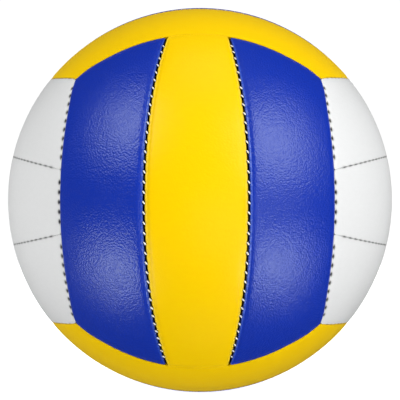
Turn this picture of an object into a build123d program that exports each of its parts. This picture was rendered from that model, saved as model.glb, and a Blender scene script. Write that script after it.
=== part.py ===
from build123d import *
import math
import os

# A machine-stitched volleyball: eighteen cover panels, three to each of six faces, sewn over a bladder.
# Frame: millimetres, +Z up, origin at the ball's centre, the front face towards -Y, the valve towards +Y.
# The six faces are those of a cube blown up to a ball, and each face is three strips side by side.
# Strips run up and down on the front and back, along X on top and bottom, along Y on the left and right.

# The ball and the layers of its wall, from the outside in
BALL_DIAMETER = 210.0
SKIN_THICKNESS = 0.9
FOAM_THICKNESS = 2.2
LINING_THICKNESS = 0.3
GLUE_FILM = 0.15
BLADDER_CLEARANCE = 0.3
BLADDER_WALL = 0.5

# Where the seams lie, in degrees from the middle of a face to the middle of the seam
INNER_SEAM_ANGLE = 13.3
LONG_SEAM_ANGLE = 38.5

# The turned-in edge of a panel, called its hem
SEAM_GAP = 0.7
HEM_INSIDE_BEND = 0.4
HEM_CORNER_INSIDE_BEND = 1.2

# Stitches: one running thread to a seam, through a row of needle holes in the two hems
THREAD_DIAMETER = 0.6
THREAD_SIDES = 6
THREAD_CLEARANCE = 0.2
STITCH_PITCH = 4.6
STITCH_DEPTH = 2.6
STITCH_END_MARGIN = 3.0

# Valve: a rubber plug in a rubber socket that is bonded to the bladder
COVER_HOLE_DIAMETER = 10.0
SOCKET_DIAMETER = 9.4
SOCKET_LENGTH = 17.0
SOCKET_RECESS = 0.5
SOCKET_FLANGE_DIAMETER = 22.0
SOCKET_FLANGE_THICKNESS = 1.2
SOCKET_STOP_THICKNESS = 1.2
SOCKET_STOP_BORE = 3.0
PLUG_HEAD_DIAMETER = 7.4
PLUG_HEAD_THICKNESS = 1.4
PLUG_HEAD_RECESS = 0.1
PLUG_DIAMETER = 5.6
PLUG_CLEARANCE = 0.05
PLUG_END_CLEARANCE = 0.3
PLUG_EDGE_ROUNDING = 0.4
NEEDLE_BORE_DIAMETER = 2.0
NEEDLE_BORE_LENGTH = 10.0
SLIT_WIDTH = 1.6
SLIT_THICKNESS = 0.2
BLADDER_PATCH_DIAMETER = 44.0
BLADDER_PATCH_THICKNESS = 1.0
VALVE_RING_DIAMETER = 24.0
VALVE_RING_THICKNESS = 0.6

# Levels worked out from the sizes above, as distances from the ball's centre
BALL_RADIUS = BALL_DIAMETER / 2
CAVITY_TOP = BALL_RADIUS - SKIN_THICKNESS
FOAM_TOP = CAVITY_TOP - GLUE_FILM
FOAM_BOTTOM = FOAM_TOP - FOAM_THICKNESS
LINING_TOP = FOAM_BOTTOM - GLUE_FILM
HEM_BOTTOM = LINING_TOP - LINING_THICKNESS
BLADDER_OUTSIDE = HEM_BOTTOM - BLADDER_CLEARANCE
BLADDER_INSIDE = BLADDER_OUTSIDE - BLADDER_WALL
STITCH_RADIUS = BALL_RADIUS - STITCH_DEPTH
CUT_REACH = BALL_DIAMETER
CUT_START = BALL_DIAMETER / 12
FRONT_BOX_SHARES = (0.72, 0.5, 0.88)
SAME_LEVEL = GLUE_FILM / 10

# Distances from a seam's middle surface, on either side of it
HEM_FACE = SEAM_GAP / 2
HEM_BACK = HEM_FACE + SKIN_THICKNESS
THREAD_REACH = HEM_BACK + THREAD_CLEARANCE + THREAD_DIAMETER / 2
FOAM_EDGE = THREAD_REACH + THREAD_DIAMETER / 2 + THREAD_CLEARANCE
NEEDLE_HOLE_DIAMETER = THREAD_DIAMETER + 2 * THREAD_CLEARANCE

CUBE_CORNER_SHARE = 1 / math.sqrt(3)
CENTRE = Vector(0, 0, 0)


class Seam:
    """A circle arc on the ball, and the cone from the ball's centre through it.

    axis is the cone's axis, middle points from the axis to the seam's middle, and along is the way it runs.
    """

    def __init__(self, axis, middle, along, opening):
        self.axis, self.middle, self.along = Vector(*axis), Vector(*middle), Vector(*along)
        self.opening = math.radians(opening)
        self.flat = math.isclose(opening, 90)

    def sideways(self, turn):
        return self.middle * math.cos(turn) + self.along * math.sin(turn)

    def outward(self, turn):
        """The unit vector from the ball's centre to the seam, turn radians from its middle."""
        return self.axis * math.cos(self.opening) + self.sideways(turn) * math.sin(self.opening)

    def across(self, turn):
        """The unit vector square to the seam, pointing out of its cone."""
        return self.sideways(turn) * math.cos(self.opening) - self.axis * math.sin(self.opening)

    def region(self, setback):
        """Everything inside the seam's cone, made larger all round by setback."""
        upright = (Align.CENTER, Align.CENTER, Align.MIN)
        point = self.axis * (-setback / math.sin(self.opening))
        if self.flat:
            place = Plane(origin=point, x_dir=self.along, z_dir=self.axis)
            return place * Cylinder(CUT_REACH, CUT_REACH, align=upright)
        place = Plane(origin=point + self.axis * CUT_START, x_dir=self.along, z_dir=self.axis)
        slope = math.tan(self.opening)
        mouth = (CUT_START + CUT_REACH) * slope
        return place * Cone(CUT_START * slope, mouth, CUT_REACH, align=upright)

    def meets(self, other):
        """How far along this seam, in radians from its middle, it meets another one on the along side."""
        a = math.sin(self.opening) * self.middle.dot(other.axis)
        b = math.sin(self.opening) * self.along.dot(other.axis)
        c = math.cos(other.opening) - math.cos(self.opening) * self.axis.dot(other.axis)
        phase, spread = math.atan2(b, a), math.acos(c / math.hypot(a, b))
        return min((abs(t), t) for t in (phase + spread, phase - spread))[1]


def seam_shape(middle_angle, tilt):
    """(tilt, opening) of a seam whose middle is middle_angle from the face's middle."""
    return math.radians(tilt), 90 - (middle_angle - tilt)


def long_seam_tilt():
    """The tilt that takes the long seam from its middle through the cube's corners."""
    angle = math.radians(LONG_SEAM_ANGLE)
    rise = math.cos(angle) - CUBE_CORNER_SHARE
    return math.degrees(math.atan2(math.sin(angle) - CUBE_CORNER_SHARE, rise))


def side_seam(middle_angle, tilt, side):
    """A seam of the front face that runs up and down, on the +X side for side 1 and the -X side for -1."""
    tilt, opening = seam_shape(middle_angle, tilt)
    axis = (side * math.cos(tilt), math.sin(tilt), 0)
    middle = (side * math.sin(tilt), -math.cos(tilt), 0)
    return Seam(axis, middle, (0, 0, 1), opening)


def end_seam(side):
    """The seam across the strips' ends, on top for side 1. It is the long seam of the face next door."""
    tilt, opening = seam_shape(LONG_SEAM_ANGLE, long_seam_tilt())
    axis = (0, -math.cos(tilt), -side * math.sin(tilt))
    middle = (0, -math.sin(tilt), side * math.cos(tilt))
    return Seam(axis, middle, (1, 0, 0), opening)


INNER = {side: side_seam(INNER_SEAM_ANGLE, INNER_SEAM_ANGLE, side) for side in (-1, 1)}
LONG = side_seam(LONG_SEAM_ANGLE, long_seam_tilt(), 1)
END = {side: end_seam(side) for side in (-1, 1)}

# The two strip shapes of the front face: the seams whose cones bound each one from outside
STRIPS = {"middle": (INNER[-1], INNER[1]), "right": (LONG,)}


def ball(radius):
    """A ball whose poles and joining line lie clear of the front face."""
    return Plane(origin=CENTRE, x_dir=(0, 1, 0), z_dir=(1, 0, 0)) * Sphere(radius)


def front_shell(outside, inside):
    """The ball's wall between two radii, all round the front face and a little more."""
    width, depth, height = (BALL_DIAMETER * share for share in FRONT_BOX_SHARES)
    box = Pos(0, -BALL_RADIUS, 0) * Box(width, depth, height)
    return (ball(outside) & box) - ball(inside)


def strip_block(strip, outside, inside, setback):
    """The part of the ball's wall that a strip covers, between two radii, set back from its four seams."""
    block = front_shell(outside, inside)
    for seam in STRIPS[strip]:
        block -= seam.region(setback)
    if strip == "right":
        block &= INNER[1].region(-setback)
    for seam in END.values():
        block &= seam.region(-setback)
    return block


def corner_edges(block):
    """The short edges where two hems meet."""
    return [e for e in block.edges() if abs((e @ 0).length - (e @ 1).length) > SAME_LEVEL]


def edges_at(block, radius):
    return [e for e in block.edges() if abs((e @ 0.5).length - radius) < SAME_LEVEL]


def stitch_turns(start, end, radius):
    """The places of the stitches on a stretch of seam, in radians from the seam's middle."""
    margin = (STITCH_END_MARGIN + STITCH_PITCH / 2) / radius
    pitch = STITCH_PITCH / radius
    count = max(2, math.floor((end - start - 2 * margin) / pitch) + 1)
    first = (start + end - (count - 1) * pitch) / 2
    return [first + i * pitch for i in range(count)]


def inner_stretches():
    """The one stretch of an inner seam, from end to end."""
    top = INNER[1].meets(END[1])
    return [stitch_turns(-top, top, STITCH_RADIUS)]


def edge_stretches():
    """The three stretches of a seam between two faces: it is sewn afresh at the end of each strip."""
    seam = END[1]
    ring_share = math.sin(seam.opening)
    corner = math.asin(CUBE_CORNER_SHARE / ring_share)
    junction = abs(seam.meets(INNER[1]))
    spans = ((-corner, -junction), (-junction, junction), (junction, corner))
    return [stitch_turns(start, end, STITCH_RADIUS * ring_share) for start, end in spans]


def thread(seam, turns):
    """A running stitch: through both hems at each turn, and along the back of one hem to the next."""
    half_pitch = (turns[1] - turns[0]) / 2
    side, points = 1, []

    def add(turn):
        points.append(seam.outward(turn) * STITCH_RADIUS + seam.across(turn) * (side * THREAD_REACH))

    add(turns[0] - half_pitch)
    for turn in turns:
        add(turn)
        side = -side
        add(turn)
    add(turns[-1] + half_pitch)
    path = Polyline(*points)
    section = Plane(origin=path @ 0, z_dir=path % 0) * RegularPolygon(THREAD_DIAMETER / 2, THREAD_SIDES)
    return sweep(section, path=path, transition=Transition.RIGHT)


def needle_holes(seam, stretches):
    """Pins that cut the needle holes of a seam, through both hems."""
    pins = []
    for turn in (t for turns in stretches for t in turns):
        place = Plane(origin=seam.outward(turn) * STITCH_RADIUS, z_dir=seam.across(turn))
        pins.append(place * Cylinder(NEEDLE_HOLE_DIAMETER / 2, 2 * FOAM_EDGE))
    return pins


def cover_panel(strip):
    """A lid of skin with its hem turned in all round and its needle holes."""
    lid = strip_block(strip, BALL_RADIUS, HEM_BOTTOM, HEM_FACE)
    lid = fillet(corner_edges(lid), HEM_CORNER_INSIDE_BEND + SKIN_THICKNESS)
    lid = fillet(edges_at(lid, BALL_RADIUS), HEM_INSIDE_BEND + SKIN_THICKNESS)
    hollow = strip_block(strip, CAVITY_TOP, BLADDER_INSIDE, HEM_BACK)
    hollow = fillet(corner_edges(hollow), HEM_CORNER_INSIDE_BEND)
    hollow = fillet(edges_at(hollow, CAVITY_TOP), HEM_INSIDE_BEND)
    inner, outer = inner_stretches(), edge_stretches()
    if strip == "middle":
        pins = needle_holes(INNER[-1], inner) + needle_holes(INNER[1], inner)
        ends = outer[1:2]
    else:
        pins = needle_holes(INNER[1], inner) + needle_holes(LONG, outer)
        ends = outer[2:]
    for seam in END.values():
        pins += needle_holes(seam, ends)
    return (lid - hollow) - pins


def about_face(shape):
    """The same shape on the other side of the front face's middle."""
    return shape.rotate(Axis.Y, 180)


# Each face is the front face turned into its place; its strips are named for where they lie on the ball
DIAGONAL = Axis((0, 0, 0), (1, 1, 1))
FACES = {
    "front": ((), ("left", "middle", "right")),
    "back": (((Axis.Z, 180),), ("right", "middle", "left")),
    "left": (((DIAGONAL, 240),), ("lower", "middle", "upper")),
    "right": (((DIAGONAL, 240), (Axis.Z, 180)), ("lower", "middle", "upper")),
    "top": (((DIAGONAL, 120), (Axis.X, 180)), ("back", "middle", "front")),
    "bottom": (((DIAGONAL, 120),), ("front", "middle", "back")),
}


def on_face(shape, face):
    for axis, angle in FACES[face][0]:
        shape = shape.rotate(axis, angle)
    return shape


# Valve levels along +Y
VALVE_TOP = BALL_RADIUS - SOCKET_RECESS
SOCKET_BOTTOM = VALVE_TOP - SOCKET_LENGTH
PLUG_TOP = VALVE_TOP - PLUG_HEAD_RECESS
PLUG_SHOULDER = PLUG_TOP - PLUG_HEAD_THICKNESS
SEAT_TOP = PLUG_SHOULDER - PLUG_END_CLEARANCE
STOP_TOP = SOCKET_BOTTOM + SOCKET_STOP_THICKNESS
PLUG_BOTTOM = STOP_TOP + PLUG_END_CLEARANCE
PATCH_TOP = BLADDER_INSIDE - GLUE_FILM
PATCH_BOTTOM = PATCH_TOP - BLADDER_PATCH_THICKNESS
FLANGE_TOP = PATCH_BOTTOM - GLUE_FILM
FLANGE_BOTTOM = FLANGE_TOP - SOCKET_FLANGE_THICKNESS
RING_BOTTOM = FOAM_TOP - VALVE_RING_THICKNESS


def rod(diameter, bottom, top):
    """A round bar along +Y between two levels."""
    upright = (Align.CENTER, Align.CENTER, Align.MIN)
    place = Plane(origin=(0, bottom, 0), x_dir=(1, 0, 0), z_dir=(0, 1, 0))
    return place * Cylinder(diameter / 2, top - bottom, align=upright)


def round_shell(outside, inside):
    """A hollow ball whose poles and joining line lie clear of the valve."""
    place = Plane(origin=CENTRE, x_dir=(0, -1, 0), z_dir=(0, 0, 1))
    return place * Sphere(outside) - place * Sphere(inside)


def valve_socket():
    body = rod(SOCKET_DIAMETER, SOCKET_BOTTOM, VALVE_TOP)
    flange = rod(SOCKET_FLANGE_DIAMETER, PATCH_BOTTOM - CUT_START, VALVE_TOP)
    flange &= round_shell(FLANGE_TOP, FLANGE_BOTTOM)
    socket = body + flange
    socket -= rod(PLUG_HEAD_DIAMETER + 2 * PLUG_CLEARANCE, SEAT_TOP, BALL_DIAMETER)
    socket -= rod(PLUG_DIAMETER + 2 * PLUG_CLEARANCE, STOP_TOP, BALL_DIAMETER)
    return socket - rod(SOCKET_STOP_BORE, 0, BALL_DIAMETER)


def valve_plug():
    plug = rod(PLUG_DIAMETER, PLUG_BOTTOM, PLUG_TOP)
    plug = chamfer(plug.edges().group_by(Axis.Y)[0], PLUG_EDGE_ROUNDING)
    head = rod(PLUG_HEAD_DIAMETER, PLUG_SHOULDER, PLUG_TOP)
    head = fillet(head.edges().group_by(Axis.Y)[-1], PLUG_EDGE_ROUNDING)
    plug += head
    bore_floor = PLUG_TOP - NEEDLE_BORE_LENGTH
    plug -= rod(NEEDLE_BORE_DIAMETER, bore_floor, BALL_DIAMETER)
    upright = (Align.CENTER, Align.MAX, Align.CENTER)
    slit = Box(SLIT_WIDTH, SOCKET_LENGTH, SLIT_THICKNESS, align=upright)
    return plug - Pos(0, bore_floor + SLIT_THICKNESS, 0) * slit


def valve_ring(top, bottom, margin):
    """The ring of rubbered cloth round the valve hole, under the skin, made wider by margin."""
    bar = rod(VALVE_RING_DIAMETER + 2 * margin, BLADDER_INSIDE, BALL_DIAMETER)
    return bar & round_shell(top, bottom)


# One of each shape, on the front face
panels = {"middle": cover_panel("middle"), "right": cover_panel("right")}
foams = {strip: strip_block(strip, FOAM_TOP, FOAM_BOTTOM, FOAM_EDGE) for strip in panels}
cloths = {strip: strip_block(strip, LINING_TOP, HEM_BOTTOM, FOAM_EDGE) for strip in panels}
for shapes in (panels, foams, cloths):
    shapes["left"] = about_face(shapes["right"])
threads = [thread(INNER[1], turns) for turns in inner_stretches()]
threads += [thread(END[1], turns) for turns in edge_stretches()]
threads += [about_face(piece) for piece in threads]

os.makedirs("parts", exist_ok=True)


def save(shape, name):
    shape.label = name
    export_step(shape, os.path.join("parts", name + ".step"))


# Every face: three panels, three foam pads, its lining and its thread
valve_hole = rod(COVER_HOLE_DIAMETER, 0, BALL_DIAMETER)
ring_pocket = valve_ring(BALL_RADIUS, RING_BOTTOM - GLUE_FILM, GLUE_FILM)
for face, (_, names) in FACES.items():
    linings = []
    for strip, name in zip(("left", "middle", "right"), names):
        panel, foam, cloth = (on_face(shapes[strip], face) for shapes in (panels, foams, cloths))
        if (face, name) == ("back", "middle"):
            panel, foam, cloth = panel - valve_hole, foam - valve_hole - ring_pocket, cloth - valve_hole
        save(panel, f"cover_{face}_{name}")
        save(foam, f"foam_{face}_{name}")
        linings.append(cloth)
    save(Compound(children=linings), f"lining_{face}")
    save(Compound(children=[on_face(piece, face) for piece in threads]), f"thread_{face}")

# The bladder and its valve
save(round_shell(BLADDER_OUTSIDE, BLADDER_INSIDE) - valve_hole, "bladder")
patch = rod(BLADDER_PATCH_DIAMETER, 0, BALL_DIAMETER) & round_shell(PATCH_TOP, PATCH_BOTTOM)
save(patch - valve_hole, "bladder_patch")
save(valve_ring(FOAM_TOP, RING_BOTTOM, 0) - valve_hole, "valve_ring")
save(valve_socket(), "valve_socket")
save(valve_plug(), "valve_plug")
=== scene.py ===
# %% [markdown]
# A stitched volleyball
#
# The ball is eighteen padded strips, three to each face of a cube that has been blown up to a ball. The CAD
# model holds its construction: panels, foam, lining, thread, bladder and valve. This lesson dresses it. It
# lays a fresh skin over each panel, sews the seams with thread that can be seen, gives every piece its
# material, and sets up the light and the camera. All lengths are metres, in the frame of the CAD model:
# +Z up, front towards -Y.

# %% Load the frame
import math

import bpy
import numpy as np
from mathutils import Matrix, Quaternion, Vector


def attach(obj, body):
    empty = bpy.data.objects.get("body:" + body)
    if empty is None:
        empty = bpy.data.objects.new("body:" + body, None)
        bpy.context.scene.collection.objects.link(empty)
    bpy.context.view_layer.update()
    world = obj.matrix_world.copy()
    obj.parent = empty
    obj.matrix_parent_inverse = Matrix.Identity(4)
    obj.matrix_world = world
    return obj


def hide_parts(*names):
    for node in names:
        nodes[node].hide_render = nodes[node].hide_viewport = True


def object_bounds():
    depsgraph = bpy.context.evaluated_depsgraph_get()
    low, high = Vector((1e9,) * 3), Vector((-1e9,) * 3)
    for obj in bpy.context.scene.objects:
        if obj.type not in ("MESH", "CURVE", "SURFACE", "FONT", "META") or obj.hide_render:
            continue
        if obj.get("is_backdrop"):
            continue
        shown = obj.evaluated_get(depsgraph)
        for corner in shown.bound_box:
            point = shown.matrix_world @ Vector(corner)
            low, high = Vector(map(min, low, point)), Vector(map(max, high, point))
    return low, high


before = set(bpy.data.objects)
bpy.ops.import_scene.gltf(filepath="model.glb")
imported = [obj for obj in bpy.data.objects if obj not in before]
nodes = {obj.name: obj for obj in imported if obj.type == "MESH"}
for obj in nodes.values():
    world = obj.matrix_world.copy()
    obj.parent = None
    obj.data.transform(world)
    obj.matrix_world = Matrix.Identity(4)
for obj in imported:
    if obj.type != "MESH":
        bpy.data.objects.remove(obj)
cad_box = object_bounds()
print("CAD box", [tuple(round(v, 4) for v in corner) for corner in cad_box])

# %% [markdown]
# The seams
#
# Every seam is an arc of a circle on the ball. It is kept as the cone from the ball's centre through that
# circle: the cone's axis, the direction from the axis to the middle of the seam, the direction that the seam
# runs in, and the cone's half angle. The strips of the front face run up and down between two inner seams and
# two long seams, and end at the long seams of the faces above and below. The numbers are those of the CAD
# model.

# %% Seam sizes
MM = 0.001
BALL_RADIUS = 105 * MM
INNER_SEAM = math.radians(13.3)
LONG_SEAM = math.radians(38.5)
CUBE_CORNER = 1 / math.sqrt(3)
LONG_TILT = math.atan2(math.sin(LONG_SEAM) - CUBE_CORNER, math.cos(LONG_SEAM) - CUBE_CORNER)
END_HEIGHT = math.pi / 2 - LONG_SEAM
END_LEAN = math.pi / 2 - LONG_TILT


class Seam:
    def __init__(self, axis, middle, along, opening):
        self.axis, self.middle, self.along = (np.array(v) for v in (axis, middle, along))
        self.opening = opening

    def sideways(self, turn):
        return self.middle * math.cos(turn) + self.along * math.sin(turn)

    def outward(self, turn):
        """The unit vector to the seam, turn radians along it from its middle."""
        return self.axis * math.cos(self.opening) + self.sideways(turn) * math.sin(self.opening)

    def across(self, turn):
        """The unit vector square to the seam, out of its cone."""
        return self.sideways(turn) * math.cos(self.opening) - self.axis * math.sin(self.opening)

    def turn_of(self, points):
        return np.arctan2(points @ self.along, points @ self.middle)


def side_seam(middle, tilt, side):
    axis = (side * math.cos(tilt), math.sin(tilt), 0)
    inward = (side * math.sin(tilt), -math.cos(tilt), 0)
    return Seam(axis, inward, (0, 0, 1), math.pi / 2 - (middle - tilt))


def end_seam(side):
    axis = (0, -math.cos(LONG_TILT), -side * math.sin(LONG_TILT))
    inward = (0, -math.sin(LONG_TILT), side * math.cos(LONG_TILT))
    return Seam(axis, inward, (1, 0, 0), math.pi / 2 - (LONG_SEAM - LONG_TILT))


INNER = {side: side_seam(INNER_SEAM, INNER_SEAM, side) for side in (-1, 1)}
LONG = side_seam(LONG_SEAM, LONG_TILT, 1)
END = {side: end_seam(side) for side in (-1, 1)}
print("long seam tilts", round(math.degrees(LONG_TILT), 2), "degrees")

# %% [markdown]
# Where the stitches are
#
# The machine sews an inner seam in one run. A seam between two faces is sewn afresh at the end of each strip,
# so it has three runs. The stitches of a run are a fixed pitch apart and centred between its ends.

# %% Stitch places
STITCH_PITCH = 4.6 * MM
STITCH_END_MARGIN = 3.0 * MM
STITCH_DEPTH = 2.6 * MM
STITCH_RADIUS = BALL_RADIUS - STITCH_DEPTH
RING = math.sin(END[1].opening)


def stitch_turns(start, end, radius):
    margin = (STITCH_END_MARGIN + STITCH_PITCH / 2) / radius
    pitch = STITCH_PITCH / radius
    count = math.floor((end - start - 2 * margin) / pitch) + 1
    first = (start + end - (count - 1) * pitch) / 2
    return [first + i * pitch for i in range(count)]


def meeting_turn(seam, other):
    """How far along seam it meets other."""
    a = math.sin(seam.opening) * seam.middle @ other.axis
    b = math.sin(seam.opening) * seam.along @ other.axis
    c = math.cos(other.opening) - math.cos(seam.opening) * (seam.axis @ other.axis)
    phase, spread = math.atan2(b, a), math.acos(c / math.hypot(a, b))
    return min(abs(phase + spread), abs(phase - spread))


seam_top = meeting_turn(INNER[1], END[1])
junction = meeting_turn(END[1], INNER[1])
corner = math.asin(CUBE_CORNER / RING)
inner_stitches = stitch_turns(-seam_top, seam_top, STITCH_RADIUS)
edge_spans = ((-corner, -junction), (-junction, junction), (junction, corner))
edge_stitches = [t for a, b in edge_spans for t in stitch_turns(a, b, STITCH_RADIUS * RING)]
print(len(inner_stitches), "stitches to an inner seam,", len(edge_stitches), "to a seam between faces")

# %% [markdown]
# A panel
#
# A real panel is a flat-cut strip of PVC leather over foam. Its edge is folded in and sewn to the next one,
# so it is a shallow lid: a face that is part of the ball, a rounded shoulder, and a hem that goes straight
# in. The foam gives way near the seam, so the face sinks a little towards its edges, and every stitch pulls
# a small dimple. No operator lays a sheet on a ball between four seams, so a grid is added at a size of its
# own and a formula then carries each of its points to its place. Cloth simulation would need a remesh that
# wipes out these fine edges, and the air inside holds the rest of the panel to the ball anyway.

# %% Panel sizes
EDGE_ZONE = 5 * MM
EDGE_ROWS = 14
EDGE_CROWDING = 2.2
CORNER_ROUNDING = 1.2 * MM
SINK_REACH = 1.7 * MM
BEAD_TOP_SHARE = 0.4
BEAD_BACK_SLOPE = 9
BEAD_BLEND = 0.08 * MM
DIMPLE_LENGTH = 1.0 * MM
DIMPLE_REACH = 1.6 * MM
# How far the painted shade of a seam reaches, and how wide the pale fold is, which is partly wear and partly
# a painted highlight
SEAM_SHADE_REACH = 0.25 * MM
WEAR_AND_HIGHLIGHT_WIDTH_SHARE = 0.6
HEM_DEPTH = 4.0 * MM
SKIN = 0.7 * MM
TINY = 1e-4
NEVER_ZERO = 1e-9
COARSE_STEPS = {"column_step": 1.3 * MM, "row_step": 0.8 * MM}
FINE_STEPS = {"column_step": 0.42 * MM, "row_step": 0.75 * MM}
STRIPS = {
    "middle": ((-INNER_SEAM, INNER_SEAM), (-INNER_SEAM, INNER_SEAM)),
    "right": ((INNER_SEAM, LONG_SEAM), (INNER_SEAM, LONG_TILT)),
}

# %% [markdown]
# Kinds of edge
#
# An open seam gapes, and the folded edges beside it stand as soft beads. A close one shows as a dark line, a
# snug one hardly shows, and a blind one not at all. A tight one is drawn shut but for a dash at each stitch.
# At a pricked edge the needle's holes show.
#
# The first eight sizes of an edge are in millimetres. They are the gap between the two edges, how far the
# face sinks, the radius of the bead, the depth of a dimple, how far a stitch draws the edge back, how far in
# from the edge a needle's hole is set, and how long and how wide that hole is. The last three are shares: how
# dark painted shade makes the seam, how dark painted shade makes its holes, and how pale the fold beside it
# is made, partly rubbed wear and partly a painted highlight.

# %% Edge sizes
EDGE_SIZES = ("gap", "sink", "bead", "dimple", "notch", "set", "hole", "reach", "seam_shade", "hole_shade", "wear")


def edge(*sizes):
    return dict(zip(EDGE_SIZES, sizes))


# Of the last three shares in each row, the first two set the painted shade in the seam and in its holes, and
# the last sets how pale the fold is made, partly wear and partly a painted highlight.
OPEN = edge(0.70, 0.95, 0.70, 0.35, 0.25, 0.00, 0.60, 0.70, 1.00, 0.30, 0.60)
CLOSE = edge(0.35, 0.40, 0.40, 0.10, 0.10, 0.00, 0.60, 0.50, 1.00, 0.00, 0.10)
SNUG = edge(0.12, 0.20, 0.25, 0.05, 0.05, 0.00, 1.00, 0.30, 0.30, 0.40, 0.20)
BLIND = edge(0.08, 0.15, 0.20, 0.00, 0.00, 0.00, 1.00, 0.30, 0.10, 0.00, 0.00)
TIGHT = edge(0.04, 0.10, 0.12, 0.05, 0.10, 0.00, 1.60, 0.26, 0.12, 1.00, 0.00)
PRICKED = edge(0.12, 0.30, 0.40, 0.30, 0.15, 0.75, 0.90, 0.45, 0.10, 3.00, 0.30)
print("an open seam is", OPEN["gap"], "mm wide, a tight one", TIGHT["gap"], "mm")

# %% [markdown]
# Laying the grid on the ball
#
# Each grid line keeps its distance from the nearer seam, so the shoulder has the same section all round. At
# the corners the square of lines is turned into a quarter of a disc, which rounds the corner and lets the
# shoulder go round it. The height of a point then only depends on how far it is from the edge and from the
# nearest stitch.


# %% Points on the ball
def ball_point(strip, across, up):
    """The unit vector across radians to the side of the front face's middle and up radians above it."""
    tilt = np.interp(across, *STRIPS[strip])
    lean = up * (END_LEAN / END_HEIGHT)
    side, side_slope = np.sin(across - tilt) / np.cos(tilt), np.tan(tilt)
    rise, rise_slope = np.sin(up - lean) / np.cos(lean), np.tan(lean)
    a = 1 + side_slope**2 + rise_slope**2
    b = -2 * (side_slope * side + rise_slope * rise)
    c = side**2 + rise**2 - 1
    y = (-b - np.sqrt(b**2 - 4 * a * c)) / (2 * a)
    return np.stack((side - side_slope * y, y, rise - rise_slope * y), axis=-1)


def stretch(strip, across, up, step_across, step_up):
    """How many metres on the ball one radian of across, or of up, is worth."""
    ahead = ball_point(strip, across + step_across, up + step_up)
    here = ball_point(strip, across, up)
    return BALL_RADIUS * np.linalg.norm(ahead - here, axis=-1) / (step_across + step_up)


def edge_spacing(width, step):
    """Distances of the grid lines from the first edge, close together near both edges."""
    near = EDGE_ZONE * (np.arange(EDGE_ROWS + 1) / EDGE_ROWS) ** EDGE_CROWDING
    count = max(2, round((width - 2 * EDGE_ZONE) / step))
    inner = EDGE_ZONE + (width - 2 * EDGE_ZONE) * np.arange(1, count) / count
    return np.concatenate((near, inner, width - near[::-1]))


def between_edges(ends, rates, gaps, from_first, size, inset):
    """Angles from seam to seam: inset metres from the seam near an edge, evenly spread elsewhere."""
    first, last = (angle + gap / 2 / rate for angle, gap, rate in zip(ends, gaps, rates))
    start, stop = first + EDGE_ZONE / rates[0], last + EDGE_ZONE / rates[1]
    even = start + (stop - start) * (from_first - EDGE_ZONE) / (size - 2 * EDGE_ZONE)
    at_edge = np.where(from_first < size / 2, first + inset / rates[0], last + inset / rates[1])
    return np.where(np.minimum(from_first, size - from_first) < EDGE_ZONE, at_edge, even)


# %% Shape of an edge
def round_corners(side, end):
    """Distances from the side edge and the end edge, with the square corner of lines made round."""
    p, q = CORNER_ROUNDING - side, CORNER_ROUNDING - end
    inside = (p > 0) & (q > 0)
    scale = np.maximum(p, q) / np.maximum(np.hypot(p, q), NEVER_ZERO)
    side_in = np.where(inside, CORNER_ROUNDING - p * scale, side)
    end_in = np.where(inside, CORNER_ROUNDING - q * scale, end)
    return side_in, end_in


def nearest_stitch(seam, turns, points):
    """How far along the seam each point is from the nearest stitch."""
    radius = BALL_RADIUS * math.sin(seam.opening)
    gaps = np.abs(seam.turn_of(points)[..., None] - np.array(turns))
    return gaps.min(axis=-1) * radius


def pull(gap, distance, spread, reach, inward=0):
    """How much of a stitch's pull is left gap metres along the seam and distance metres in from it."""
    return np.exp(-((gap / spread) ** 2) - np.abs(distance - inward) / reach)


def sag(inset, sink, bead):
    """How far a panel lies below the ball, inset metres from its edge: a round bead that joins the face."""
    face = sink * np.exp(-((inset / SINK_REACH) ** 2))
    off_top = np.clip((inset - bead) / bead, -1, 1)
    behind = BEAD_BACK_SLOPE * np.clip(inset - 2 * bead, 0, None)
    roll = BEAD_TOP_SHARE * sink + bead * (1 - np.sqrt(1 - off_top**2)) + behind
    share = np.clip(0.5 + (roll - face) / (2 * BEAD_BLEND), 0, 1)
    joined = roll * (1 - share) + face * share - BEAD_BLEND * share * (1 - share)
    return np.where(inset < bead, roll, joined)


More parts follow.
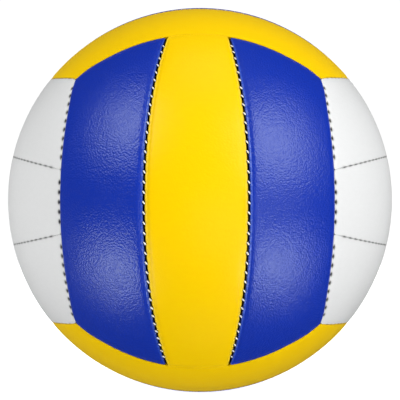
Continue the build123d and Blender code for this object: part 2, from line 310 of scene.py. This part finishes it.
# %% Panel points
def panel_points(strip, make):
    """Places of a panel's grid points in rows and columns, how much painted shade each has from the seam, and
    how pale its fold is, partly wear and partly a painted highlight.
    """
    (low, high), _ = STRIPS[strip]
    left_edge, end_edge = make["inner"], make["end"]
    right_edge = make["inner"] if strip == "middle" else make["long"]
    side_gaps = (left_edge["gap"] * MM, right_edge["gap"] * MM)
    end_gaps = (end_edge["gap"] * MM,) * 2
    width = stretch(strip, (low + high) / 2, 0, TINY, 0) * (high - low) - sum(side_gaps) / 2
    length = BALL_RADIUS * 2 * END_HEIGHT - sum(end_gaps) / 2
    columns, rows = edge_spacing(width, make["column_step"]), edge_spacing(length, make["row_step"])
    from_left, from_bottom = np.meshgrid(columns, rows)
    side = np.minimum(from_left, width - from_left)
    end = np.minimum(from_bottom, length - from_bottom)
    inset = np.minimum(side, end)
    left, bottom = from_left < width / 2, from_bottom < length / 2
    across = low + from_left / width * (high - low)
    up = (2 * from_bottom / length - 1) * END_HEIGHT
    side_rates = stretch(strip, low, up, TINY, 0), stretch(strip, high, up, -TINY, 0)
    end_rates = [stretch(strip, across, -s * END_HEIGHT, 0, s * TINY) for s in (1, -1)]
    side_share = (end + NEVER_ZERO) / (side + end + 2 * NEVER_ZERO)

    def lay(side_in, end_in):
        across_in = between_edges((low, high), side_rates, side_gaps, from_left, width, side_in)
        up_in = between_edges((-END_HEIGHT, END_HEIGHT), end_rates, end_gaps, from_bottom, length, end_in)
        return ball_point(strip, across_in, up_in)

    def of_kind(name):
        at_side = np.where(left, left_edge[name], right_edge[name])
        return side_share * at_side + (1 - side_share) * end_edge[name]

    side_in, end_in = round_corners(side, end)
    plain = lay(side_in, end_in)
    at_left = nearest_stitch(INNER[-1 if strip == "middle" else 1], inner_stitches, plain)
    outer = (INNER[1], inner_stitches) if strip == "middle" else (LONG, edge_stitches)
    side_gap = np.where(left, at_left, nearest_stitch(*outer, plain))
    at_bottom, at_top = (nearest_stitch(END[s], edge_stitches, plain) for s in (-1, 1))
    end_gap = np.where(bottom, at_bottom, at_top)
    hole, reach, inward, notch = (of_kind(name) * MM for name in ("hole", "reach", "set", "notch"))
    side_prick = pull(side_gap, side, hole, reach, inward)
    end_prick = pull(end_gap, end, hole, reach, inward)
    pricked = lay(side_in + notch * side_prick, end_in + notch * end_prick)

    bead = of_kind("bead") * MM
    drop = sag(inset, of_kind("sink") * MM, bead)
    side_dimple = pull(side_gap, side, DIMPLE_LENGTH, DIMPLE_REACH)
    end_dimple = pull(end_gap, end, DIMPLE_LENGTH, DIMPLE_REACH)
    drop += of_kind("dimple") * MM * (side_dimple + end_dimple)
    # Painted shade: the colour is darkened in the seam and in the needle holes, where shade falls.
    seam_shade = of_kind("seam_shade") * np.exp(-inset / SEAM_SHADE_REACH) + of_kind("hole_shade") * (side_prick + end_prick)
    # Paler along the fold by the bead: partly rubbed wear, partly a painted highlight on the bead.
    wear_and_highlight = of_kind("wear") * np.exp(-(((inset - bead) / (WEAR_AND_HIGHLIGHT_WIDTH_SHARE * bead)) ** 2))
    return pricked * (BALL_RADIUS - drop)[..., None], np.clip(seam_shade, 0, 1), wear_and_highlight


# %% Kinds of panel
PANELS = {
    "upright_side": ("right", {"inner": OPEN, "long": SNUG, "end": CLOSE, **COARSE_STEPS}),
    "upright_middle": ("middle", {"inner": OPEN, "end": BLIND, **COARSE_STEPS}),
    "cap_side": ("right", {"inner": OPEN, "long": BLIND, "end": SNUG, **COARSE_STEPS}),
    "cap_middle": ("middle", {"inner": OPEN, "end": SNUG, **COARSE_STEPS}),
    "white_side": ("right", {"inner": TIGHT, "long": SNUG, "end": PRICKED, **FINE_STEPS}),
    "white_middle": ("middle", {"inner": TIGHT, "end": PRICKED, **FINE_STEPS}),
}
for kind, (strip, make) in PANELS.items():
    places, _, _ = panel_points(strip, make)
    print(kind, places.shape[:2], "points, lowest", round(float(np.linalg.norm(places, axis=-1).min()), 4))

# %% [markdown]
# Making the panels
#
# The grid primitive is laid on the ball, its rim is extruded and scaled towards the ball's centre for the
# hem, and a Solidify modifier gives the skin its thickness. The panel over the valve has a round hole, made
# by turning the squares of grid lines around its middle into circles and deleting the points inside the
# smallest.

# %% Panel pieces
GRID_SIZE = 2
HOLE_RADIUS = 5 * MM
HOLE_REACH = 2.4
HOLE_ROUNDING = 0.5 * MM
ON_RIM = 1e-6


def open_hole(places):
    """Turns the grid lines round a panel's middle into circles, and says which points lie in the hole."""
    middle_row, middle_column = (count // 2 for count in places.shape[:2])
    rim_column = np.argmin(np.abs(places[middle_row, :, 0] - HOLE_RADIUS))
    rim_row = np.argmin(np.abs(places[:, middle_column, 2] - HOLE_RADIUS))
    row, column = np.indices(places.shape[:2])
    row_middle, column_middle = ((count - 1) / 2 for count in places.shape[:2])
    x = (column - column_middle) / (rim_column - column_middle)
    z = (row - row_middle) / (rim_row - row_middle)
    square = np.maximum(np.abs(x), np.abs(z))
    share = np.clip((HOLE_REACH - square) / (HOLE_REACH - 1), 0, 1)
    rounding = square / np.maximum(np.hypot(x, z), NEVER_ZERO)
    new_x = (1 - share) * places[..., 0] + share * x * rounding * HOLE_RADIUS
    new_z = (1 - share) * places[..., 2] + share * z * rounding * HOLE_RADIUS
    fall = np.clip(HOLE_ROUNDING - (square - 1) * HOLE_RADIUS, 0, HOLE_ROUNDING)
    radius = np.linalg.norm(places, axis=-1) - HOLE_ROUNDING + np.sqrt(HOLE_ROUNDING**2 - fall**2)
    new_y = -np.sqrt(radius**2 - new_x**2 - new_z**2)
    return np.stack((new_x, new_y, new_z), axis=-1), square < 1 - ON_RIM


def make_panel(strip, make, hole=False):
    places, groove, wear_and_highlight = panel_points(strip, make)
    rows, columns = groove.shape
    if hole:
        places, inside = open_hole(places)
    bpy.ops.object.select_all(action="DESELECT")
    bpy.ops.mesh.primitive_grid_add(x_subdivisions=columns - 1, y_subdivisions=rows - 1, size=GRID_SIZE)
    piece = bpy.context.object
    flat = np.empty(rows * columns * 3)
    piece.data.vertices.foreach_get("co", flat)
    column = np.rint((flat[0::3] / GRID_SIZE + 0.5) * (columns - 1)).astype(int)
    row = np.rint((flat[1::3] / GRID_SIZE + 0.5) * (rows - 1)).astype(int)
    piece.data.vertices.foreach_set("co", places[row, column].ravel())
    # The groove mark is painted shade in the seam and its holes; the other mark is a pale fold, partly wear
    # and partly a painted highlight.
    for name, values in (("groove", groove), ("wear_and_highlight", wear_and_highlight)):
        marks = piece.data.attributes.new(name, "FLOAT", "POINT")
        marks.data.foreach_set("value", values[row, column])
    bpy.ops.object.mode_set(mode="EDIT")
    if hole:
        bpy.ops.mesh.select_all(action="DESELECT")
        bpy.ops.object.mode_set(mode="OBJECT")
        piece.data.vertices.foreach_set("select", inside[row, column])
        bpy.ops.object.mode_set(mode="EDIT")
        bpy.ops.mesh.delete(type="VERT")
    bpy.ops.mesh.select_all(action="SELECT")
    bpy.ops.mesh.region_to_loop()
    bpy.ops.mesh.extrude_edges_move()
    rim = float(np.linalg.norm(places, axis=-1).min())
    hem = (BALL_RADIUS - HEM_DEPTH) / rim
    bpy.ops.transform.resize(value=(hem, hem, hem), center_override=(0, 0, 0))
    bpy.ops.object.mode_set(mode="OBJECT")
    bpy.ops.object.modifier_add(type="SOLIDIFY")
    piece.modifiers["Solidify"].thickness = SKIN
    piece.modifiers["Solidify"].offset = -1
    bpy.ops.object.modifier_apply(modifier="Solidify")
    bpy.ops.object.shade_smooth()
    return piece


patterns = {kind: make_panel(strip, make) for kind, (strip, make) in PANELS.items()}
patterns["valve"] = make_panel(*PANELS["upright_middle"], hole=True)
for name, piece in patterns.items():
    print(name, "panel", len(piece.data.polygons), "faces")

# %% [markdown]
# Setting the panels round the ball
#
# A cube has six faces and the ball has the same three strips on each, turned so that the strips of one face
# run square to those of its neighbours. The left strip is the right one turned half round. Each copy has its
# own mesh and stands for the CAD model's cover of the same name.
#
# Where three faces meet, the front and back faces of the real ball are fuller than a true cube's: their
# corners have been drawn out as the ball was blown up. So the points near the eight corners are pushed
# outwards from the middle of the front or the back face, along the ball, panels and stitches alike.

# %% Places of the faces
HALF_TURN = math.pi
THIRD_TURN = 2 * HALF_TURN / 3
CORNER_AXIS = Vector((1, 1, 1))
COLOURS = {
    "upright_side": "blue", "upright_middle": "yellow",
    "cap_side": "yellow", "cap_middle": "blue",
    "white_side": "white", "white_middle": "white",
}


def turn(angle, axis):
    return Quaternion(axis, angle).to_matrix().to_4x4()


LEFT_FACE = turn(2 * THIRD_TURN, CORNER_AXIS)
BOTTOM_FACE = turn(THIRD_TURN, CORNER_AXIS)
ABOUT_X, ABOUT_Y, ABOUT_Z = (turn(HALF_TURN, axis) for axis in Matrix.Identity(3))
FACES = {
    "front": (Matrix.Identity(4), "upright", ("left", "middle", "right")),
    "back": (ABOUT_Z, "upright", ("right", "middle", "left")),
    "left": (LEFT_FACE, "white", ("lower", "middle", "upper")),
    "right": (ABOUT_Z @ LEFT_FACE, "white", ("lower", "middle", "upper")),
    "bottom": (BOTTOM_FACE, "cap", ("front", "middle", "back")),
    "top": (ABOUT_X @ BOTTOM_FACE, "cap", ("back", "middle", "front")),
}
print(len(FACES), "faces")

# %% All eighteen panels
FULL_CORNER = 3.6 * MM
FULL_REACH = 9 * MM
FULL_AT_CORNER_SHARE = 0.33
FULL_DIRECTION = np.array((1, 0, 1)) / math.sqrt(2)


def fill_corners(mesh):
    """Pushes the points near each corner of the cube outwards from the front or the back face's middle."""
    flat = np.empty(len(mesh.vertices) * 3)
    mesh.vertices.foreach_get("co", flat)
    points = flat.reshape(-1, 3)
    radius = np.linalg.norm(points, axis=1, keepdims=True)
    signs = np.where(points < 0, -1, 1)
    from_corner = points / radius - signs * CUBE_CORNER
    apart = np.linalg.norm(from_corner, axis=1, keepdims=True) * BALL_RADIUS / FULL_REACH
    push = FULL_CORNER * (FULL_AT_CORNER_SHARE + apart**2) * np.exp(-(apart**2))
    moved = points + push * signs * FULL_DIRECTION
    moved *= radius / np.linalg.norm(moved, axis=1, keepdims=True)
    mesh.vertices.foreach_set("co", moved.ravel())


def copy_of(piece, name, place):
    made = piece.copy()
    made.data = piece.data.copy()
    made.name = made.data.name = name
    made.data.transform(place)
    bpy.context.collection.objects.link(made)
    return made


panels = {colour: [] for colour in ("blue", "yellow", "white")}
for face, (place, look, names) in FACES.items():
    for side, name in enumerate(names):
        kind = look + ("_side", "_middle", "_side")[side]
        colour = COLOURS[kind]
        pattern = patterns["valve" if (face, name) == ("back", "middle") else kind]
        panel = copy_of(pattern, f"panel_{face}_{name}", place @ ABOUT_Y if side == 0 else place)
        fill_corners(panel.data)
        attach(panel, "ball")
        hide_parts(f"cover_{face}_{name}")
        panels[colour].append(panel)
for pattern in patterns.values():
    bpy.data.objects.remove(pattern)
print(sum(len(group) for group in panels.values()), "panels")

# %% [markdown]
# The stitches
#
# Two panels are sewn with their good sides together, so only short slanted bits of thread show, deep in the
# gap. One bit is a ball primitive drawn out to a grain of rice and laid aslant across the gap. It is copied
# to every stitch of the front face's two inner seams and two end seams, and the whole set then goes to each
# face.

# %% One stitch
STITCH_LENGTH = 1.9 * MM
STITCH_THICKNESS = 0.8 * MM
STITCH_SIZE = (STITCH_THICKNESS, STITCH_THICKNESS, STITCH_LENGTH)
STITCH_SLANT = math.radians(38)
OPEN_SINK = 0.6 * MM
TIGHT_SINK = 1.2 * MM
END_SINK = 1.8 * MM

bpy.ops.object.select_all(action="DESELECT")
bpy.ops.mesh.primitive_uv_sphere_add(segments=8, ring_count=6, radius=0.5)
stitch = bpy.context.object
bpy.ops.object.mode_set(mode="EDIT")
bpy.ops.mesh.select_all(action="SELECT")
bpy.ops.transform.resize(value=STITCH_SIZE, center_override=(0, 0, 0))
bpy.ops.object.mode_set(mode="OBJECT")
bpy.ops.object.shade_smooth()
print("one stitch", len(stitch.data.polygons), "faces")


# %% Stitch every face
def stitch_place(seam, turn, sink):
    outward, across = Vector(seam.outward(turn)), Vector(seam.across(turn))
    lay = across.cross(outward) * math.cos(STITCH_SLANT) + across * math.sin(STITCH_SLANT)
    axes = Matrix((lay.cross(outward), outward, lay)).transposed().to_4x4()
    return Matrix.Translation(outward * (BALL_RADIUS - sink)) @ axes


def stitch_set(inner_sink):
    """The stitches of the front face as one piece."""
    runs = [(INNER[side], inner_stitches, inner_sink) for side in (-1, 1)]
    runs += [(END[side], edge_stitches, END_SINK) for side in (-1, 1)]
    places = [stitch_place(seam, t, sink) for seam, turns, sink in runs for t in turns]
    bits = [copy_of(stitch, "bit", place) for place in places]
    bpy.ops.object.select_all(action="DESELECT")
    for bit in bits:
        bit.select_set(True)
    bpy.context.view_layer.objects.active = bits[0]
    bpy.ops.object.join()
    return bpy.context.object


open_set, tight_set = stitch_set(OPEN_SINK), stitch_set(TIGHT_SINK)
stitches = []
for face, (place, look, _) in FACES.items():
    made = copy_of(tight_set if look == "white" else open_set, f"stitches_{face}", place)
    fill_corners(made.data)
    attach(made, "ball")
    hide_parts(f"thread_{face}")
    stitches.append(made)
for pattern in (stitch, open_set, tight_set):
    bpy.data.objects.remove(pattern)
print(len(stitches), "sets of stitches,", len(stitches[0].data.polygons), "faces each")

# %% [markdown]
# Materials
#
# Each material is a small node graph. One function adds a node with its settings and links. Colours are
# written as they look on a screen and turned to linear light. Patterns take their scale from a size in
# millimetres.


# %% Material tools
def linear(hex_colour):
    shares = [int(hex_colour[i:i + 2], 16) / 255 for i in (1, 3, 5)]
    return (*(s / 12.92 if s <= 0.04045 else ((s + 0.055) / 1.055) ** 2.4 for s in shares), 1)


def add(tree, kind, values=None, links=None, **settings):
    made = tree.nodes.new(kind)
    for name, value in settings.items():
        setattr(made, name, value)
    for name, value in (values or {}).items():
        made.inputs[name].default_value = value
    for name, (source, output) in (links or {}).items():
        tree.links.new(source.outputs[output], made.inputs[name])
    return made


def mix(tree, first, second, share):
    """A node that goes from the first colour to the second as share goes from 0 to 1."""
    values = {"Color1": linear(first), "Color2": linear(second)}
    return add(tree, "ShaderNodeMixRGB", values, {"Fac": share})


def new_material(name):
    material = bpy.data.materials.new(name)
    material.use_nodes = True
    tree = material.node_tree
    shader = tree.nodes["Principled BSDF"]
    return material, tree, shader, add(tree, "ShaderNodeTexCoord")


def wear(pieces, material):
    for piece in pieces:
        piece.data.materials.clear()
        piece.data.materials.append(material)


# %% [markdown]
# PVC leather
#
# The skin is embossed PVC on a thin cloth. Its pebble grain breaks up the highlights, its fine creases shift
# the tone and the satin finish a little, and soft waves show where the foam under it is uneven. It is painted
# pale along the folds, partly rubbed wear and partly a painted highlight on the bead, and painted shade makes
# it dark where it turns down into the seam and at the needle holes: the panels carry both as attributes.
# The blue is the glossiest, and it is the one where the lamps and the grain show. The yellow is nearly matt,
# a flat warm colour. The white is smooth and only shades off softly towards the outline.

# %% PVC leather
PEBBLE = 0.9 * MM
CREASE = 1.5 * MM
CREASE_STRETCH = (0.45, 0.45, 1.0)
CREASE_HEIGHT_SHARE = 0.4
WAVE = 9 * MM
WAVE_HEIGHT = 0.4 * MM
WAVE_STRENGTH = 0.3
NOISE_DETAIL = 2.0
SATIN = {"From Min": 0.3, "From Max": 0.7, "To Min": 0.28, "To Max": 0.34}
# In each leather the pale fold colour is partly rubbed wear and partly a painted highlight, and the groove
# colour is painted shade in the seam.
LEATHERS = {
    "blue": {
        "colour": "#0430ae", "shade": "#042ca8", "wear_and_highlight_colour": "#4a70e0", "seam_shade_colour": "#02040e",
        "gloss": 0.66, "gloss_tint": "#ecf9ff", "pebble_height": 0.125 * MM,
    },
    "yellow": {
        "colour": "#ffd400", "shade": "#ffcf00", "wear_and_highlight_colour": "#ffe250", "seam_shade_colour": "#2a1a00",
        "gloss": 0.12, "gloss_tint": "#ffffff", "pebble_height": 0.05 * MM,
    },
    "white": {
        "colour": "#eeefef", "shade": "#eaebeb", "wear_and_highlight_colour": "#fafbfb", "seam_shade_colour": "#0a0a0a",
        "gloss": 0.4, "gloss_tint": "#ffffff", "pebble_height": 0.03 * MM,
    },
}


def pvc_leather(name, colour, shade, wear_and_highlight_colour, seam_shade_colour, gloss, gloss_tint, pebble_height):
    material, tree, shader, place = new_material(name)
    where = {"Vector": (place, "Object")}
    pebbles = add(tree, "ShaderNodeTexVoronoi", {"Scale": 1 / PEBBLE}, where, feature="F1")
    drawn_out = add(tree, "ShaderNodeMapping", {"Scale": CREASE_STRETCH}, where)
    creases = add(tree, "ShaderNodeTexNoise", {"Scale": 1 / CREASE, "Detail": NOISE_DETAIL},
                  {"Vector": (drawn_out, "Vector")})
    waves = add(tree, "ShaderNodeTexNoise", {"Scale": 1 / WAVE, "Detail": NOISE_DETAIL}, where)
    grain = add(tree, "ShaderNodeBump", {"Strength": 1.0, "Distance": pebble_height},
                {"Height": (pebbles, "Distance")}, invert=True)
    folds = add(tree, "ShaderNodeBump", {"Strength": 1.0, "Distance": CREASE_HEIGHT_SHARE * pebble_height},
                {"Height": (creases, "Fac"), "Normal": (grain, "Normal")})
    bumps = add(tree, "ShaderNodeBump", {"Strength": WAVE_STRENGTH, "Distance": WAVE_HEIGHT},
                {"Height": (waves, "Fac"), "Normal": (folds, "Normal")})
    tone = mix(tree, colour, shade, (creases, "Fac"))
    # Paler along the fold: partly rubbed wear, partly a painted highlight.
    fold = add(tree, "ShaderNodeAttribute", attribute_name="wear_and_highlight")
    rubbed_and_highlit = add(tree, "ShaderNodeMixRGB", {"Color2": linear(wear_and_highlight_colour)},
                 {"Fac": (fold, "Fac"), "Color1": (tone, "Color")})
    # Painted shade: the colour goes dark in the seam and in the needle holes.
    depth = add(tree, "ShaderNodeAttribute", attribute_name="groove")
    seam_shaded = add(tree, "ShaderNodeMixRGB", {"Color2": linear(seam_shade_colour)},
                  {"Fac": (depth, "Fac"), "Color1": (rubbed_and_highlit, "Color")})
    satin = add(tree, "ShaderNodeMapRange", SATIN, {"Value": (creases, "Fac")})
    shader.inputs["Specular IOR Level"].default_value = gloss
    shader.inputs["Specular Tint"].default_value = linear(gloss_tint)
    tree.links.new(seam_shaded.outputs["Color"], shader.inputs["Base Color"])
    tree.links.new(satin.outputs["Result"], shader.inputs["Roughness"])
    tree.links.new(bumps.outputs["Normal"], shader.inputs["Normal"])
    return material


for colour, look in LEATHERS.items():
    wear(panels[colour], pvc_leather(f"pvc_leather_{colour}", **look))
    print(len(panels[colour]), "panels in", colour, "leather")

# %% [markdown]
# Thread
#
# White polyester, three plies twisted together. Slanted bands of light and shade show the twist, and the
# fibres take the gloss off, so the stitches stay white specks in the dark gap.

# %% Thread
TWIST = 0.5 * MM
TWIST_HEIGHT = 0.05 * MM
TWIST_STRENGTH = 0.4
TWIST_WOBBLE = 0.6
DIAGONAL_BAND = 2 / math.pi
THREAD_ROUGHNESS = 0.7

thread, tree, shader, place = new_material("polyester_thread_white")
plies = add(tree, "ShaderNodeTexWave", {"Scale": DIAGONAL_BAND / TWIST, "Distortion": TWIST_WOBBLE},
            {"Vector": (place, "Object")}, bands_direction="DIAGONAL")
fibres = mix(tree, "#e6e6e2", "#fdfdfb", (plies, "Fac"))
twist = add(tree, "ShaderNodeBump", {"Strength": TWIST_STRENGTH, "Distance": TWIST_HEIGHT},
            {"Height": (plies, "Fac")})
shader.inputs["Roughness"].default_value = THREAD_ROUGHNESS
tree.links.new(fibres.outputs["Color"], shader.inputs["Base Color"])
tree.links.new(twist.outputs["Normal"], shader.inputs["Normal"])
wear(stitches, thread)
print(len(stitches), "sets of stitches in", thread.name)

# %% [markdown]
# Inside the ball
#
# The pieces behind the panels stay as the CAD model made them: their shapes are right. The foam is pale and
# dull with small round cells, the lining a plain weave that shows its yarns, the bladder and its patch black
# butyl rubber with a faint sheen, and the valve a softer, smoother rubber that is a little lighter.


# %% Inside materials
CELL = 0.5 * MM
CELL_STRENGTH = 0.5
RUBBER_SPECK = 1.5 * MM
VALVE_SPECK = 0.5 * MM
YARN = 0.6 * MM
YARN_HEIGHT = 0.1 * MM
YARN_STRENGTH = 0.6
STRAIGHT_BAND = 2 * math.pi / 20
CLOTH_ROUGHNESS = 0.85


def cellular(name, light, dark, cell, roughness, depth):
    material, tree, shader, place = new_material(name)
    cells = add(tree, "ShaderNodeTexVoronoi", {"Scale": 1 / cell}, {"Vector": (place, "Object")})
    tone = mix(tree, dark, light, (cells, "Distance"))
    pits = add(tree, "ShaderNodeBump", {"Strength": CELL_STRENGTH, "Distance": depth},
               {"Height": (cells, "Distance")})
    shader.inputs["Roughness"].default_value = roughness
    tree.links.new(tone.outputs["Color"], shader.inputs["Base Color"])
    tree.links.new(pits.outputs["Normal"], shader.inputs["Normal"])
    return material


def woven(name, light, dark):
    material, tree, shader, place = new_material(name)
    where = {"Vector": (place, "Object")}
    warp, weft = (add(tree, "ShaderNodeTexWave", {"Scale": STRAIGHT_BAND / YARN}, where, bands_direction=way)
                  for way in "XZ")
    crossing = add(tree, "ShaderNodeMath", None, {0: (warp, "Fac"), 1: (weft, "Fac")}, operation="MULTIPLY")
    tone = mix(tree, dark, light, (crossing, "Value"))
    weave = add(tree, "ShaderNodeBump", {"Strength": YARN_STRENGTH, "Distance": YARN_HEIGHT},
                {"Height": (crossing, "Value")})
    shader.inputs["Roughness"].default_value = CLOTH_ROUGHNESS
    tree.links.new(tone.outputs["Color"], shader.inputs["Base Color"])
    tree.links.new(weave.outputs["Normal"], shader.inputs["Normal"])
    return material


foam_pads = [nodes[name] for name in nodes if name.startswith("foam_")]
linings = [nodes[name] for name in nodes if name.startswith("lining_")]
wear(foam_pads, cellular("eva_foam", "#d8d6cc", "#b9b6aa", CELL, 0.9, 0.15 * MM))
wear(linings, woven("lining_cloth", "#e9e7de", "#bdbab0"))
butyl = cellular("butyl_rubber_black", "#1d1d1f", "#121214", RUBBER_SPECK, 0.55, 0.05 * MM)
wear([nodes["bladder"], nodes["bladder_patch"]], butyl)
wear([nodes["valve_ring"]], woven("rubbered_cloth", "#3a3a3c", "#1c1c1e"))
valve_rubber = cellular("valve_rubber_grey", "#2c2c2f", "#222225", VALVE_SPECK, 0.5, 0.03 * MM)
wear([nodes["valve_socket"], nodes["valve_plug"]], valve_rubber)
print(len(foam_pads), "foam pads,", len(linings), "linings, the bladder and the valve have their materials")

# %% [markdown]
# Stage, light and camera
#
# The ball stands on white paper against white. The paper glows, so that it throws no shadow and has no
# horizon, and it is clear from below, so that the ball can be looked at from there. Five lamps give light and
# highlights: two hang to the left and the right in front of the ball, two lie low, where a bright table would
# throw light back up, and a faint one stands near the camera. The six fills light the top, the bottom, the
# sides and the back without any highlight. The camera stands level with the ball.

# %% Stage
FLOOR_SIZE = 8
PAPER_FIBRE = 40 * MM
PAPER_ROUGHNESS = 0.9
PAPER_GLOSS = 0.1
PAPER_GLOW = {"From Max": 0.8, "To Min": 0.97, "To Max": 1.0}
# The sky's light on the ball, and how bright the camera sees it
SKY = {"To Min": 0.07, "To Max": 1.05}
WHITE_LIGHT = (1, 1, 1, 1)

bpy.ops.object.select_all(action="DESELECT")
bpy.ops.mesh.primitive_plane_add(size=FLOOR_SIZE, location=(0, 0, cad_box[0][2]))
floor = bpy.context.object
floor.name = "floor"
floor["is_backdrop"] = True
paper, tree, shader, place = new_material("white_paper")
fibre = add(tree, "ShaderNodeTexNoise", {"Scale": 1 / PAPER_FIBRE}, {"Vector": (place, "Object")})
sheet_tone = mix(tree, "#f4f4f4", "#fafafa", (fibre, "Fac"))
shader.inputs["Roughness"].default_value = PAPER_ROUGHNESS
shader.inputs["Specular IOR Level"].default_value = PAPER_GLOSS
shader.inputs["Emission Color"].default_value = WHITE_LIGHT
apart = add(tree, "ShaderNodeVectorMath", None, {0: (place, "Object")}, operation="LENGTH")
glow = add(tree, "ShaderNodeMapRange", PAPER_GLOW, {"Value": (apart, "Value")})
tree.links.new(glow.outputs["Result"], shader.inputs["Emission Strength"])
tree.links.new(sheet_tone.outputs["Color"], shader.inputs["Base Color"])
facing = add(tree, "ShaderNodeNewGeometry")
clear = add(tree, "ShaderNodeBsdfTransparent")
one_sided = add(tree, "ShaderNodeMixShader", None,
                {0: (facing, "Backfacing"), 1: (shader, "BSDF"), 2: (clear, "BSDF")})
tree.links.new(one_sided.outputs["Shader"], tree.nodes["Material Output"].inputs["Surface"])
wear([floor], paper)
floor.visible_diffuse = floor.visible_glossy = floor.visible_shadow = False

world = bpy.data.worlds.new("studio")
bpy.context.scene.world = world
world.use_nodes = True
tree = world.node_tree
rays = add(tree, "ShaderNodeLightPath")
strength = add(tree, "ShaderNodeMapRange", SKY, {"Value": (rays, "Is Camera Ray")})
tree.nodes["Background"].inputs["Color"].default_value = WHITE_LIGHT
tree.links.new(strength.outputs["Result"], tree.nodes["Background"].inputs["Strength"])
print("floor at", round(floor.location.z, 4))

# %% Lamps
LAMP_DISTANCE = 0.9
# Each lamp's direction from the ball, its size and its brightness
LAMPS = {
    "lamp_upper_left": ((-0.542, -0.572, 0.615), 0.45, 0.36),
    "lamp_upper_right": ((0.600, -0.640, 0.480), 0.60, 0.60),
    "lamp_lower_left": ((-0.655, -0.525, -0.545), 0.41, 0.33),
    "lamp_lower_right": ((0.622, -0.590, -0.515), 0.46, 0.40),
    "lamp_front": ((0.25, -0.95, -0.20), 0.50, 0.10),
    "fill_top": ((0.10, -0.25, 0.96), 0.50, 0.20),
    "fill_below": ((0.10, -0.30, -0.95), 0.50, 0.07),
    "fill_left": ((-0.90, 0.30, -0.15), 0.60, 0.40),
    "fill_right": ((0.90, 0.43, -0.10), 0.60, 0.04),
    "fill_back_left": ((-0.60, 0.80, 0.10), 0.45, 0.40),
    "fill_back_right": ((0.60, 0.80, 0.10), 0.45, 0.56),
}
for name, (direction, size, brightness) in LAMPS.items():
    bpy.ops.object.light_add(type="AREA")
    lamp = bpy.context.object
    lamp.name = name
    lamp.data.size = size
    lamp.data.energy = brightness * (math.pi * LAMP_DISTANCE) ** 2
    lamp.location = Vector(direction).normalized() * LAMP_DISTANCE
    lamp.rotation_euler = Vector(direction).to_track_quat("Z", "Y").to_euler()
    lamp.visible_camera = False
    lamp.visible_glossy = name.startswith("lamp_")
print(len(LAMPS), "lamps")

# %% Camera
CAMERA_DISTANCE = 5.28 * BALL_RADIUS
CAMERA_SIDE = math.radians(0.94)
CAMERA_RISE = math.radians(0.70)
CAMERA_LENS = 89.6
CAMERA_SENSOR = 36

stand = Vector((math.sin(CAMERA_SIDE), -math.cos(CAMERA_SIDE), math.tan(CAMERA_RISE))).normalized()
aim = stand.to_track_quat("Z", "Y").to_euler()
bpy.ops.object.camera_add(location=stand * CAMERA_DISTANCE, rotation=aim)
camera = bpy.context.object
camera.data.lens = CAMERA_LENS
camera.data.sensor_width = CAMERA_SENSOR
bpy.context.scene.camera = camera
bpy.context.scene.view_settings.view_transform = "Standard"
print("camera", round(CAMERA_DISTANCE, 3), "m from the ball's centre")

# %% [markdown]
# Finish
#
# The box of the dressed ball is set beside the CAD model's box in one table, so the two can be compared.

# %% Finish
size = {"cad": [list(corner) for corner in cad_box], "visual": [list(corner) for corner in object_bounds()]}
